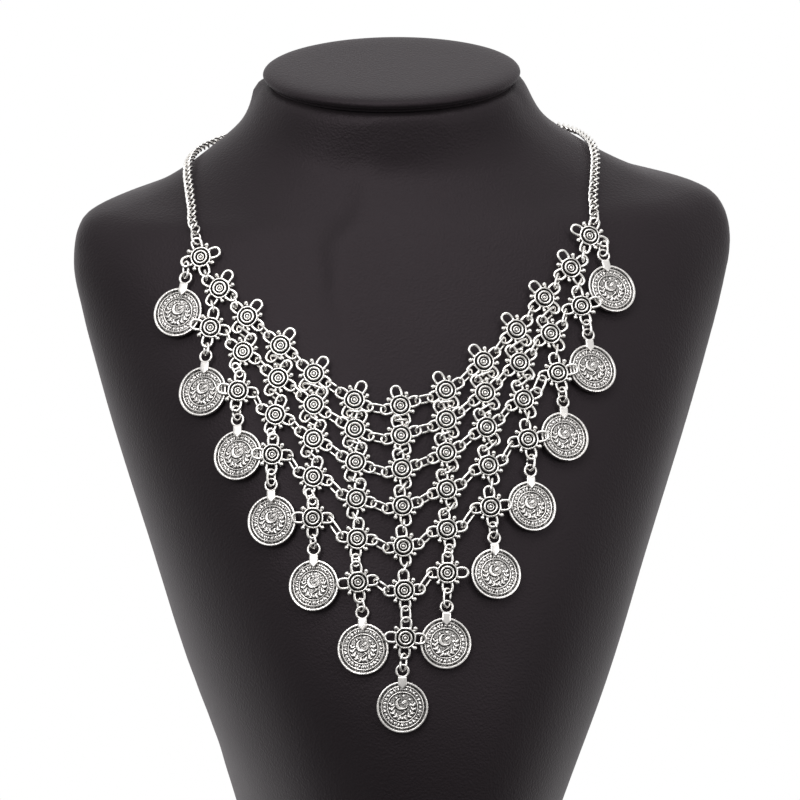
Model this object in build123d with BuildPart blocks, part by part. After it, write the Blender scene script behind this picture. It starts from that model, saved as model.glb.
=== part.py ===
"""Coin necklace on a neck bust display.

A V-shaped net of four-loop rosettes, joined by wire links, hangs from a curb chain that
runs round the neck of a padded display bust. A relief coin hangs under every column.
Millimetres, +Z up, the bust faces -Y, the origin is the middle of its foot.
"""

from build123d import *
from itertools import product
from math import atan2, copysign, cos, degrees, hypot, pi, radians, sin
import os
import numpy as np

os.makedirs("parts", exist_ok=True)

# Bust display
torso_height = 262.0
neck_height = 29.8
shoulder_width = 236.5
chest_depth = 162.0
back_depth = 45.0
side_line = 26.0
neck_width = 92.6
neck_depth = 78.0
neck_tilt = 3.0
band_height = 14.0
cap_thickness = 5.2
cap_round = 2.3
cap_gap = 0.15

# Rosette connector
wire = 0.8
loop_reach = 5.45
loop_radius = 1.75
hub_radius = 3.55
hub_thickness = 1.0
hub_ring_radius = 2.1
hub_ring_height = 0.45
boss_radius = 1.15
granule_reach = 4.75
granule_radius = 0.65
stem_radius = 0.35

# Wire links between the rosettes, half sizes to the middle of the wire
link_slacks = (0.3, 0.1, -0.1, -0.3, -0.6)
oval_half_widths = (1.6, 1.3)
link_leans = [*range(30, 91, 4), *range(26, 0, -5)]
link_tips = (0, 7, -7, 14, -14, 20, -20)
clearance = 0.15

# Coin charm
coin_radius = 8.9
coin_thickness = 1.1
rim_width = 0.7
rim_height = 0.35
relief_height = 0.25
ring_width = 0.3
outer_ring = 0.83
inner_ring = 0.6
bead_reach = 0.7
bead_radius = 0.3
leaf_reach = 0.42
bail_radius = 2.1
bail_wire = 0.85
coin_arm = 12.6
tab_width = 3.1
tab_length = 3.6
tab_thickness = 0.6
tab_foot = 0.5

# Curb chain and clasp
curb_pitch = 3.1
curb_wire = 0.95
curb_half_length = 2.18
curb_half_width = 1.65
curb_roll = 45.0
curb_lift = 2.05
end_link_half_length = 2.8
end_link_half_width = 1.9
barrel_length = 8.0
barrel_radius = 1.6
barrel_eye_radius = 1.35

# How the net lies on the chest
skin_gap = 2.35
shingle = 6.5
end_roll = 9.5
end_lift = 0.35
middle_lift = 0.6
coin_gap = 0.3
column_growth = 1.25
turn_power = 2.0
end_column = 6

# Sections of the torso, as shares of torso_height, shoulder_width (width and middle),
# chest_depth, side_line and back_depth, with the roundness of the front and back halves
torso_sections = [
    # height, width, middle, front, side, back, front_round, back_round
    (0.000, 0.368, -0.031, 0.955, 1.00, -0.07, 2.0, 2.4),
    (0.084, 0.453, -0.029, 0.978, 1.00, 0.00, 2.0, 2.4),
    (0.199, 0.535, -0.023, 0.992, 1.00, 0.13, 2.05, 2.4),
    (0.351, 0.657, -0.017, 0.960, 1.00, 0.31, 2.15, 2.4),
    (0.504, 0.758, -0.013, 0.870, 1.00, 0.49, 2.3, 2.3),
    (0.656, 0.864, -0.007, 0.737, 0.96, 0.67, 2.3, 2.2),
    (0.771, 0.939, -0.001, 0.612, 0.92, 0.80, 2.2, 2.0),
    (0.844, 0.982, 0.003, 0.523, 0.88, 0.89, 2.0, 1.9),
    (0.893, 1.002, 0.005, 0.460, 0.84, 0.94, 1.9, 1.85),
    (0.931, 0.992, 0.005, 0.409, 0.81, 0.98, 1.8, 1.8),
    (0.958, 0.954, 0.004, 0.371, 0.73, 1.00, 1.75, 1.75),
    (0.977, 0.803, 0.002, 0.342, 0.61, 1.00, 1.7, 1.75),
    (1.000, 0.666, 0.002, 0.306, 0.38, 0.99, 1.8, 1.8),
]
# Sections of the neck, as shares of neck_height, neck_width and half of neck_depth
neck_sections = [
    # height, width, front, side, back, front_round, back_round
    (0.29, 1.369, 1.10, 0.11, 1.12, 1.9, 1.9),
    (0.62, 1.132, 1.04, 0.03, 1.06, 2.0, 2.0),
    (1.00, 1.000, 1.00, 0.00, 1.00, 2.0, 2.0),
]

# The net is laid out as it is seen from far in front of the chest, across and up from
# the middle of the view, and lies on the bust where those sight lines meet it
view_side = -6.5
view_up = 18.0
view_roll = -0.5
view_distance = 2500.0
view_front = 70.0
view_level = 167.0
columns = {
    # column: top_across, top_up, bottom_across, bottom_up, top_turn, bottom_turn
    -6: (-76.4, 74.9, -76.4, 74.9, 15, 15),
    -5: (-69.7, 63.9, -72.7, 50.0, -35, -14),
    -4: (-59.9, 53.9, -62.9, 27.6, -42, -10),
    -3: (-48.2, 43.6, -50.8, 5.1, -39, -5),
    -2: (-36.5, 33.5, -36.6, -17.3, -38, -2),
    -1: (-22.3, 24.3, -20.8, -40.0, -28, 6),
    0: (-6.1, 22.3, -4.3, -59.7, 18, -3),
    1: (9.9, 27.7, 10.4, -36.8, 31, 1),
    2: (23.2, 37.8, 25.5, -13.5, 41, 8),
    3: (34.7, 49.1, 38.6, 10.3, 43, 14),
    4: (44.5, 60.5, 49.1, 33.8, 45, 17),
    5: (53.9, 71.0, 57.4, 57.5, 37, 19),
    6: (60.5, 82.3, 60.5, 82.3, -18, -18),
}
# Where each coin's middle is seen, how it swings, and how far its lower edge leans to the skin
coin_places = {
    # column: across, up, swing, lean
    -6: (-84.3, 55.6, -12.0, -4.5),
    -5: (-75.4, 27.6, -4.4, -4.5),
    -4: (-62.9, 5.0, 1.7, -4.5),
    -3: (-50.9, -18.1, 2.0, -4.0),
    -2: (-36.2, -41.0, 0.3, -3.0),
    -1: (-19.0, -63.5, 1.2, -1.0),
    0: (-5.2, -84.0, 0.0, 1.0),
    1: (9.9, -61.5, -1.5, -1.0),
    2: (27.5, -37.0, 3.1, -3.0),
    3: (40.0, -13.1, 1.8, -4.0),
    4: (51.6, 11.5, 2.0, -4.5),
    5: (61.4, 35.5, 6.1, -4.5),
    6: (68.3, 63.8, 13.3, -4.5),
}
# Route of the chain: turn about the neck from the front, and height, from each end of the
# net to the clasp at the back
chain_route = {
    -1: [(58.3, 251.2), (65.9, 257.0), (71.0, 260.0), (76.2, 262.3), (81.5, 264.0),
         (90, 265.0), (103, 265.3), (122, 265.0), (150, 264.0), (180, 263.0)],
    1: [(52.6, 251.3), (57.8, 255.5), (65.2, 260.2), (71.0, 263.0), (78.0, 265.3),
        (86, 266.9), (100, 266.7), (120, 265.4), (150, 264.0), (180, 263.0)],
}


# The sections as real sizes: level, tilt, middle, half width, front, side, back, roundness
sections = []
for height, width, middle, front, side, back, front_round, back_round in torso_sections:
    sections.append((
        height * torso_height,
        0.0,
        middle * shoulder_width,
        width * shoulder_width / 2,
        front * chest_depth,
        side * side_line,
        back * back_depth,
        front_round,
        back_round,
    ))
for height, width, front, side, back, front_round, back_round in neck_sections:
    sections.append((
        torso_height + height * neck_height,
        radians(height * neck_tilt),
        0.0,
        width * neck_width / 2,
        front * neck_depth / 2,
        side * neck_depth / 2,
        back * neck_depth / 2,
        front_round,
        back_round,
    ))
sections = np.array(sections)
levels = sections[:, 0]
slopes = np.diff(sections, axis=0) / np.diff(levels)[:, None]
# At each section the slope is the harmonic mean of its neighbours, so nothing overshoots
both_ways = slopes[:-1] * slopes[1:] > 0
total = np.where(both_ways, slopes[:-1] + slopes[1:], 1.0)
mean_slopes = np.where(both_ways, 2 * slopes[:-1] * slopes[1:] / total, 0.0)
slopes = np.vstack([slopes[:1], mean_slopes, slopes[-1:]])


def section_at(level):
    """The section of the bust at any level, eased between the rows of the table."""
    k = int(np.clip(np.searchsorted(levels, level) - 1, 0, len(levels) - 2))
    span = levels[k + 1] - levels[k]
    t = (level - levels[k]) / span
    low = (1 + 2 * t) * (1 - t) ** 2 * sections[k] + t * (1 - t) ** 2 * span * slopes[k]
    high = t * t * (3 - 2 * t) * sections[k + 1] - t * t * (1 - t) * span * slopes[k + 1]
    return low + high


def skin_point(turn, level):
    """A point of the bust's skin, by the turn round its section and the section's level."""
    section = section_at(level)
    _, tilt, middle, half_width, front, side, back, front_round, back_round = section
    c = cos(turn)
    s = sin(turn)
    power = 2 / (front_round if s < 0 else back_round)
    reach = front - side if s < 0 else back + side
    x = middle + half_width * copysign(abs(c) ** power, c)
    y = reach * copysign(abs(s) ** power, s) - side
    return Vector(x, y * cos(tilt), level + y * sin(tilt))


def skin_normal(turn, level, turn_step=0.05, level_step=3.0):
    """The way the skin faces, smoothed over a few millimetres."""
    high = min(level + level_step, levels[-1])
    round_it = skin_point(turn + turn_step, level) - skin_point(turn - turn_step, level)
    up_it = skin_point(turn, high) - skin_point(turn, high - 2 * level_step)
    return round_it.cross(up_it).normalized()


# Bust body: one loft from the foot to the neck rim, each section drawn in four quarters
rim_level = torso_height + neck_height
quarter_ends = [(0, 1), (-1, 0), (0, -1), (1, 0)]
quarter_steps = 6
with BuildPart() as bust_body:
    for k in range(len(levels)):
        bands = 1
        if k < len(levels) - 1:
            bands = max(1, round((levels[k + 1] - levels[k]) / band_height))
        for band in range(bands):
            level = levels[k]
            if band:
                level += (levels[k + 1] - levels[k]) * band / bands
            plane = Plane(origin=(0, 0, level)).rotated((degrees(section_at(level)[1]), 0, 0))
            with BuildSketch(plane):
                with BuildLine():
                    for quarter in range(4):
                        turns = [pi / 2 * (quarter + n / quarter_steps) for n in range(quarter_steps + 1)]
                        points = [plane.to_local_coords(skin_point(turn, level)) for turn in turns]
                        ends = [quarter_ends[quarter], quarter_ends[(quarter + 1) % 4]]
                        Spline(*points, tangents=ends)
                make_face()
    loft()

# Neck cap: a padded oval lid on the rim
cap_plane = Plane(origin=(0, 0, rim_level)).rotated((neck_tilt, 0, 0)).offset(cap_gap)
with BuildPart() as neck_cap:
    with BuildSketch(cap_plane):
        Ellipse(neck_width / 2, neck_depth / 2)
    extrude(amount=cap_thickness)
    fillet(neck_cap.edges(), cap_round)


def walk_skin(measure, target, start):
    """Turn and level of the bust's skin where measure(point) equals the target pair."""
    turn, level = start
    step = 1e-3
    for _ in range(60):
        here = measure(skin_point(turn, level))
        miss = (target[0] - here[0], target[1] - here[1])
        if hypot(*miss) < 1e-3:
            break
        beside = measure(skin_point(turn + step, level))
        above = measure(skin_point(turn, level + step))
        a, b = (beside[0] - here[0]) / step, (above[0] - here[0]) / step
        c, d = (beside[1] - here[1]) / step, (above[1] - here[1]) / step
        share = a * d - b * c
        turn_move = (d * miss[0] - b * miss[1]) / share
        level_move = (a * miss[1] - c * miss[0]) / share
        damp = min(1.0, 0.2 / max(abs(turn_move), 1e-9), 15.0 / max(abs(level_move), 1e-9))
        turn += damp * turn_move
        level = min(max(level + damp * level_move, levels[0] + 1.0), levels[-1] - 1.0)
    return turn, level


facing = Vector(
    sin(radians(view_side)) * cos(radians(view_up)),
    -cos(radians(view_side)) * cos(radians(view_up)),
    sin(radians(view_up)),
)
across = Vector(cos(radians(view_side)), sin(radians(view_side)), 0)
view_plane = Plane(origin=(0, -view_front, view_level), x_dir=across, z_dir=facing)
view_plane = Plane(view_plane.location * Location((0, 0, 0), (0, 0, view_roll)))
chest_start = (-pi / 2, 0.6 * torso_height)


def in_view(point):
    """Where a point is seen, across and up from the middle of the view."""
    local = view_plane.to_local_coords(point)
    nearer = view_distance / (view_distance - local.Z)
    return local.X * nearer, local.Y * nearer


def seat(x, y, turn, lift, lean=0.0, roll=0.0):
    """A plane that lies on the chest where the view shows (x, y), raised and turned."""
    place = walk_skin(in_view, (x, y), chest_start)
    point = skin_point(*place)
    normal = skin_normal(*place)
    level = view_plane.x_dir - normal * view_plane.x_dir.dot(normal)
    flat = Plane(origin=point + normal * lift, x_dir=level, z_dir=normal)
    return Plane(flat.location * Location((0, 0, 0), (lean, roll, 0)) * Location((0, 0, 0), (0, 0, turn)))


# Where each rosette lies: down each column the steps grow by column_growth
rosettes = {}
for column, (top_x, top_y, low_x, low_y, top_turn, low_turn) in columns.items():
    steps = end_column - abs(column)
    drop = top_y - low_y
    for row in range(steps + 1):
        share = 0.0
        if steps:
            first = drop / steps - column_growth * (steps - 1) / 2
            share = (first * row + column_growth * row * (row - 1) / 2) / drop
        turn_share = (row / steps) ** turn_power if steps else 0.0
        outward = copysign(1, column) if row == steps and 0 < abs(column) < end_column else 0
        rosettes[column, row] = seat(
            top_x + (low_x - top_x) * share,
            top_y - drop * share,
            top_turn + (low_turn - top_turn) * turn_share,
            skin_gap + end_lift * abs(outward) + (middle_lift if row == end_column else 0.0),
            shingle,
            -end_roll * outward,
        )

RIGHT, TOP, LEFT, BOTTOM = range(4)


def loop_centre(rosette, loop):
    angle = loop * pi / 2
    return rosettes[rosette].from_local_coords((loop_reach * cos(angle), loop_reach * sin(angle), 0))


def circle_points(plane, x, y, z, radius, count):
    """Points of a circle drawn flat in a plane, as an array."""
    turns = np.linspace(0, 2 * pi, count, endpoint=False)
    centre = np.array(tuple(plane.from_local_coords((x, y, z))))
    first = np.outer(radius * np.cos(turns), tuple(plane.x_dir))
    return centre + first + np.outer(radius * np.sin(turns), tuple(plane.y_dir))


def oval_points(plane, half_length, half_width, count=32):
    """Points of the middle line of an oval link, as an array."""
    turns = np.linspace(0, 2 * pi, count, endpoint=False)
    straight = half_length - half_width
    along = np.linspace(-straight, straight, 9)
    level = np.full(len(along), half_width)
    x = np.concatenate([half_width * np.cos(turns) + np.copysign(straight, np.cos(turns)), along, along])
    y = np.concatenate([half_width * np.sin(turns), level, -level])
    centre = np.array(tuple(plane.origin))
    return centre + np.outer(x, tuple(plane.x_dir)) + np.outer(y, tuple(plane.y_dir))


# What the links have to clear: the middle lines of loops and hub rims, each half a wire
# thick, and the granules
obstacles = []
for plane in rosettes.values():
    for loop in range(4):
        angle = loop * pi / 2
        x, y = loop_reach * cos(angle), loop_reach * sin(angle)
        obstacles.append((circle_points(plane, x, y, 0, loop_radius, 40), wire / 2))
        angle += pi / 4
        x, y = granule_reach * cos(angle), granule_reach * sin(angle)
        obstacles.append((circle_points(plane, x, y, 0, 0.1, 4), granule_radius))
    rim = hub_radius - hub_thickness / 2
    obstacles.append((circle_points(plane, 0, 0, 0, rim, 40), hub_thickness / 2))
    obstacles.append((circle_points(plane, 0, 0, hub_ring_height, hub_ring_radius, 24), 0.5))


def link_gap(plane, half_length, half_width, thickness, near, ground=None):
    """The smallest gap from an oval link to what lies near it, and to the skin under it."""
    middle = oval_points(plane, half_length, half_width)
    gaps = []
    if ground:
        heights = (middle - np.array(tuple(ground.origin))) @ np.array(tuple(ground.z_dir))
        gaps.append(heights.min() - thickness / 2)
    for points, radius in near:
        apart = np.linalg.norm(middle[:, None] - points[None], axis=2).min()
        gaps.append(apart - radius - thickness / 2)
    return min(gaps)


def hang_link(start, end, normal, half_widths=oval_half_widths, slacks=link_slacks):
    """The plane and half sizes of a link between two loop centres, with little lean.

    The link ends near the middles of both loops: the first width, tip, lean and slack that
    clear what lies near are taken, or else the ones with the widest gap.
    """
    half_span = (end - start).length / 2
    middle = (start + end) * 0.5
    along = (end - start).normalized()
    up = (normal - along * normal.dot(along)).normalized()
    flat = Plane(origin=middle, x_dir=along, z_dir=up)
    centre = np.array(tuple(middle))
    near = [o for o in obstacles if np.linalg.norm(o[0] - centre, axis=1).min() < 4.5]
    ground = seat(*in_view(middle), 0, 0)
    best_gap = -9.0
    for half_width, tip, lean, side in product(half_widths, link_tips, link_leans, (1, -1)):
        leaned = Plane(flat.location * Location((0, 0, 0), (side * lean, tip, 0)))
        for slack in slacks:
            half_length = max(half_span - slack, half_width + 0.5)
            gap = link_gap(leaned, half_length, half_width, wire, near, ground)
            if gap > best_gap:
                best_gap = gap
                best = (leaned, (half_length, half_width))
            if gap > clearance:
                return best
    return best


# Links along the rows and down the columns
row_links = {}
column_links = {}
for column, row in rosettes:
    here = rosettes[column, row]
    beside = (column + 1, row)
    below = (column, row + 1)
    if beside in rosettes:
        start = loop_centre((column, row), BOTTOM if column == -end_column else RIGHT)
        end = loop_centre(beside, BOTTOM if column + 1 == end_column else LEFT)
        normal = here.z_dir + rosettes[beside].z_dir
        row_links[column, row] = hang_link(start, end, normal)
    if below in rosettes:
        start = loop_centre((column, row), BOTTOM)
        end = loop_centre(below, TOP)
        normal = here.z_dir + rosettes[below].z_dir
        column_links[column, row] = hang_link(start, end, normal)

# Coins: each lies where it is seen, clear of the skin, and hangs from the lowest loop of
# its column by one link
coins = {}
coin_links = {}
bail_level = coin_thickness + rim_height + 0.1
for column, (x, y, swing, lean) in coin_places.items():
    lift = coin_gap + coin_radius * sin(radians(abs(lean)))
    coins[column] = seat(x, y, swing, lift, lean)
    low = (column, end_column - abs(column))
    loop = BOTTOM
    if abs(column) == end_column:
        loop = RIGHT if column > 0 else LEFT
    hook = loop_centre(low, loop)
    bail_place = (0, coin_arm, bail_level)
    bail = coins[column].from_local_coords(bail_place)
    obstacles.append((circle_points(coins[column], *bail_place, bail_radius, 40), bail_wire / 2))
    normal = rosettes[low].z_dir + coins[column].z_dir
    coin_links[column] = hang_link(hook, bail, normal)


# Rosette: a turned hub with four loops and four granules, cast as one
with BuildPart() as rosette:
    with BuildSketch(Plane.XZ) as profile:
        with BuildLine():
            Polyline(
                (0, -hub_thickness / 2),
                (hub_radius - 0.25, -hub_thickness / 2),
                (hub_radius, 0),
                (hub_radius - 0.15, hub_thickness / 2 - 0.05),
                (hub_radius - 0.45, hub_thickness / 2 - 0.05),
                (hub_radius - 0.65, 0.05),
                (hub_ring_radius + 0.45, 0.05),
                (hub_ring_radius + 0.3, hub_ring_height + 0.2),
                (hub_ring_radius - 0.3, hub_ring_height + 0.2),
                (hub_ring_radius - 0.5, 0.05),
                (boss_radius + 0.1, 0.05),
                (boss_radius - 0.1, hub_ring_height),
                (0, hub_ring_height + 0.25),
                close=True,
            )
        make_face()
    revolve(axis=Axis.Z)
    with PolarLocations(loop_reach, 4):
        Torus(loop_radius, wire / 2)
    with PolarLocations(granule_reach, 4, start_angle=45):
        Sphere(granule_radius)
    with PolarLocations((hub_radius + granule_reach) / 2, 4, start_angle=45):
        Cylinder(stem_radius, granule_reach - hub_radius + 0.4, rotation=(0, 90, 0))


def wire_oval(half_length, half_width, thickness):
    """A closed wire link that lies flat, its middle line straight sided with round ends."""
    straight = half_length - half_width
    if straight < 0.01:
        with BuildPart() as link:
            Torus(half_width, thickness / 2)
        return link.part
    with BuildPart() as link:
        with BuildLine(Plane.XY) as path:
            Line((-straight, -half_width), (straight, -half_width))
            ThreePointArc((straight, -half_width), (half_length, 0), (straight, half_width))
            Line((straight, half_width), (-straight, half_width))
            ThreePointArc((-straight, half_width), (-half_length, 0), (-straight, -half_width))
        with BuildSketch(Plane(origin=(0, -half_width, 0), x_dir=(0, 1, 0), z_dir=(1, 0, 0))):
            Circle(thickness / 2)
        sweep(path=path.wire())
    return link.part


# Coin charm: raised rim, rings, beads and a leafy scroll, with a tab up to a round bail
leaves = 4
beads = 28
with BuildPart() as coin:
    with BuildSketch():
        Circle(coin_radius)
    extrude(amount=coin_thickness)
    with BuildSketch(Plane.XY.offset(coin_thickness)):
        Circle(coin_radius)
        Circle(coin_radius - rim_width, mode=Mode.SUBTRACT)
    extrude(amount=rim_height)
    with BuildSketch(Plane.XY.offset(coin_thickness)):
        for radius in (outer_ring, inner_ring):
            Circle(radius * coin_radius)
            Circle(radius * coin_radius - ring_width, mode=Mode.SUBTRACT)
        with Locations((-0.06 * coin_radius, 0.08 * coin_radius)):
            Circle(0.24 * coin_radius)
        with Locations((0.02 * coin_radius, 0.13 * coin_radius)):
            Circle(0.19 * coin_radius, mode=Mode.SUBTRACT)
        with Locations(Location((0.05 * coin_radius, 0.12 * coin_radius), 35)):
            Ellipse(0.11 * coin_radius, 0.055 * coin_radius)
        for side in (1, -1):
            for k in range(leaves):
                angle = radians(-90 + side * (17 + 25 * k))
                place = (leaf_reach * coin_radius * cos(angle), leaf_reach * coin_radius * sin(angle))
                with Locations(Location(place, degrees(angle) + side * 60)):
                    Ellipse(0.1 * coin_radius, 0.04 * coin_radius)
        with PolarLocations(bead_reach * coin_radius, beads):
            Circle(bead_radius)
    extrude(amount=relief_height)
    tab_top = coin_arm - bail_radius + 0.15
    tab_shoulder = coin_radius - 1.2
    face_level = coin_thickness + rim_height
    with BuildSketch(Plane.XY.offset(face_level)):
        with BuildLine():
            Polyline(
                (-tab_width / 2, tab_top),
                (tab_width / 2, tab_top),
                (tab_width / 2, tab_shoulder),
                (0, tab_top - tab_length - 0.8),
                (-tab_width / 2, tab_shoulder),
                close=True,
            )
        make_face()
    extrude(amount=tab_thickness)
    with BuildSketch(Plane.XY.offset(tab_foot)):
        with Locations((0, (tab_top + tab_shoulder) / 2)):
            Rectangle(tab_width, tab_top - tab_shoulder)
    extrude(amount=face_level - tab_foot + tab_thickness / 2)
    with Locations((0, coin_arm, bail_level)):
        Torus(bail_radius, bail_wire / 2)


def chain_line(side):
    """Points and skin normals close together from the net's end loop to the clasp."""

    def about_neck(point):
        return degrees(atan2(side * point.X, -point.Y)) % 360, point.Z

    with BuildLine(mode=Mode.PRIVATE):
        curve = Spline(*chain_route[side])
    points = [loop_centre((side * end_column, 0), TOP)]
    normals = [rosettes[side * end_column, 0].z_dir]
    place = (-pi / 2 + side * radians(60), 0.95 * torso_height)
    for k in range(61):
        target = curve @ (k / 60)
        place = walk_skin(about_neck, (target.X, target.Y), place)
        point = skin_point(*place)
        normal = skin_normal(*place)
        points.append(point + normal * curb_lift)
        normals.append(normal)
    points = np.array([tuple(p) for p in points])
    normals = np.array([tuple(n) for n in normals])
    steps = np.linalg.norm(np.diff(points, axis=0), axis=1)
    return np.concatenate([[0], np.cumsum(steps)]), points, normals


def plane_along(line, distance, roll):
    """A plane on the chain line with x along it, rolled about it from the skin."""
    lengths, points, normals = line

    def at(table, s):
        return Vector(*(np.interp(s, lengths, table[:, i]) for i in range(3)))

    along = at(points, distance + 1.0) - at(points, distance - 1.0)
    normal = at(normals, distance)
    normal = normal - along * (normal.dot(along) / along.dot(along))
    flat = Plane(origin=at(points, distance), x_dir=along, z_dir=normal)
    return Plane(flat.location * Location((0, 0, 0), (roll, 0, 0)))


# Chain: an end link through the net's top loop, then curb links to the clasp's eye
end_reach = end_link_half_length + curb_half_length - wire / 2 - curb_wire / 2 - 0.25
eye_reach = barrel_eye_radius + curb_half_length - wire / 2 - curb_wire / 2 - 0.25
eye_from_middle = barrel_length / 2 + barrel_eye_radius + wire / 4
chain_links = {}
end_links = {}
clasp_eyes = {}
for side in (-1, 1):
    line = chain_line(side)
    hook = Vector(*line[1][0])
    reach = 2 * end_link_half_length - wire - 0.5
    tip = plane_along(line, reach, 0)
    slack = reach / 2 - end_link_half_length
    end_links[side] = hang_link(hook, tip.origin, tip.z_dir, [end_link_half_width], [slack])
    end_middle, size = end_links[side]
    first = reach / 2 + end_reach
    last = line[0][-1] - eye_from_middle - eye_reach
    gaps = round((last - first) / curb_pitch)
    near = [(oval_points(end_middle, *size), wire / 2)]
    starts = []
    for sign in (1, -1):
        plane = plane_along(line, first, sign * curb_roll)
        gap = link_gap(plane, curb_half_length, curb_half_width, curb_wire, near)
        starts.append((gap, sign))
    sign = max(starts)[1]
    chain_links[side] = [
        plane_along(line, first + (last - first) * k / gaps, sign * curb_roll * (-1) ** k)
        for k in range(gaps + 1)
    ]
    clasp_eyes[side] = sign * curb_roll * (-1) ** (gaps + 1)
    print("chain", side, "links", gaps + 1, "pitch", round((last - first) / gaps, 3), "length", round(line[0][-1], 1))
    middle_line = line

# Clasp: a plain barrel across the back of the neck, with an eye at each end
barrel_plane = plane_along(middle_line, middle_line[0][-1] - 0.01, 0)
barrel_plane = Plane(
    origin=(0, barrel_plane.origin.Y, barrel_plane.origin.Z), x_dir=(-1, 0, 0), z_dir=(0, 1, 0)
)
with BuildPart() as clasp:
    Cylinder(barrel_radius, barrel_length, rotation=(0, 90, 0))
    chamfer(clasp.edges(), 0.4)
    for side in (-1, 1):
        eye_x = -side * (barrel_length / 2 + barrel_eye_radius - wire / 4)
        with Locations(Location((eye_x, 0, 0), (side * clasp_eyes[side], 0, 0))):
            Torus(barrel_eye_radius, wire / 2)


def copies(shape, planes):
    """The solids of one shape, laid on each of the planes."""
    return [solid for plane in planes for solid in (plane.location * shape).solids()]


def links(hung, thickness=wire):
    """Wire links of their own sizes, each on its plane."""
    placed = []
    for plane, (half_length, half_width) in hung:
        placed += copies(wire_shapes(half_length, half_width, thickness), [plane])
    return placed


made = {}


def wire_shapes(half_length, half_width, thickness):
    size = (half_length, half_width, thickness)
    if size not in made:
        made[size] = wire_oval(*size)
    return made[size]


pieces = {
    "bust_body": bust_body.part.solids(),
    "neck_cap": neck_cap.part.solids(),
    "clasp": copies(clasp.part, [barrel_plane]),
    "coin_links": links(coin_links.values()),
    "chain_end_links": links(end_links.values()),
}
for row in range(end_column + 1):
    at_row = [plane for (_, r), plane in rosettes.items() if r == row]
    pieces[f"rosette_row_{row + 1}"] = copies(rosette.part, at_row)
    if row < end_column:
        pieces[f"row_links_{row + 1}"] = links(v for (_, r), v in row_links.items() if r == row)
        pieces[f"column_links_{row + 1}"] = links(
            v for (_, r), v in column_links.items() if r == row
        )
for column, plane in coins.items():
    side_name = "left" if column < 0 else "right"
    coin_name = f"coin_{side_name}_{abs(column)}" if column else "coin_middle"
    pieces[coin_name] = copies(coin.part, [plane])
for side, side_name in ((-1, "left"), (1, "right")):
    curb = wire_shapes(curb_half_length, curb_half_width, curb_wire)
    pieces[f"chain_{side_name}"] = copies(curb, chain_links[side])

# Move everything so that the origin is the middle of the foot, and write one file a piece
box = bust_body.part.bounding_box()
to_origin = Location((-box.center().X, -box.center().Y, -box.min.Z))
for piece_name, solids in pieces.items():
    piece = Compound([to_origin * solid for solid in solids])
    piece.label = piece_name
    export_step(piece, f"parts/{piece_name}.step")
    print(piece_name, len(solids), round(piece.volume, 1), piece.is_valid)
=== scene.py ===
"""Dresses the coin necklace and its neck bust, and sets the light and camera of the photo.

Lengths are in mm and are scaled by MM when a mesh is made. Every piece takes its place from
the CAD solids of the frame.
"""

import bmesh
import bpy
import numpy as np
from math import atan2, cos, pi, radians, sin
from mathutils import Matrix, Vector
from mathutils.bvhtree import BVHTree


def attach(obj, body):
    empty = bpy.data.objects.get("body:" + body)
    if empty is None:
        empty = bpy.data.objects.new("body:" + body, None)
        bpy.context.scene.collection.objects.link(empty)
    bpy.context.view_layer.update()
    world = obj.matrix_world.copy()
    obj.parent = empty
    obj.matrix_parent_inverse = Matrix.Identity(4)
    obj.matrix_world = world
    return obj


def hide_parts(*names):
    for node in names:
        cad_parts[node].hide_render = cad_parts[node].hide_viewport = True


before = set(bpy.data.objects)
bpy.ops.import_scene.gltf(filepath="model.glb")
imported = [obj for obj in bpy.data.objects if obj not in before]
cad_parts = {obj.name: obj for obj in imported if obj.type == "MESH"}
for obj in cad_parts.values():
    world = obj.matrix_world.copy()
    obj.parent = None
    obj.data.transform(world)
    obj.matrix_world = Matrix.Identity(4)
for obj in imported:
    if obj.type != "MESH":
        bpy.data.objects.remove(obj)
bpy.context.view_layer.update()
scene = bpy.context.scene
MM = 0.001
WELD = 2e-6


# Reading the CAD solids
def welded(node):
    """A CAD node's mesh with the corners that its faces share made one."""
    bm = bmesh.new()
    bm.from_mesh(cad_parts[node].data)
    bmesh.ops.remove_doubles(bm, verts=bm.verts, dist=WELD)
    return bm


def solids(node):
    """Corner points, in mm, of each loose solid of a CAD node."""
    bm = welded(node)
    bm.verts.ensure_lookup_table()
    seen = set()
    found = []
    for start in bm.verts:
        if start.index in seen:
            continue
        seen.add(start.index)
        stack = [start]
        points = []
        while stack:
            corner = stack.pop()
            points.append(corner.co[:])
            for edge in corner.link_edges:
                other = edge.other_vert(corner)
                if other.index not in seen:
                    seen.add(other.index)
                    stack.append(other)
        found.append(np.array(points) / MM)
    bm.free()
    return found


bust_bm = welded("bust_body")
bmesh.ops.recalc_face_normals(bust_bm, faces=bust_bm.faces)
bust_tree = BVHTree.FromBMesh(bust_bm)


def outward(point):
    """The bust's outward direction at the skin nearest to a point in mm."""
    _, normal, _, _ = bust_tree.find_nearest(Vector(point) * MM)
    return np.array(normal)


def unit(v):
    return v / np.linalg.norm(v)


def spread(points):
    """Middle of a solid's extents, its three axes, longest first, and its sizes along them."""
    middle = points.mean(0)
    _, _, axes = np.linalg.svd(points - middle, full_matrices=False)
    local = (points - middle) @ axes.T
    middle = middle + ((local.max(0) + local.min(0)) / 2) @ axes
    return middle, axes, (local.max(0) - local.min(0))


def pose(origin, x, z):
    """4x4 in mm with z kept and x made square to it."""
    z = unit(z)
    x = unit(x - z * np.dot(x, z))
    m = np.eye(4)
    m[:3, 0], m[:3, 1], m[:3, 2], m[:3, 3] = x, np.cross(z, x), z, origin
    return m


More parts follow.
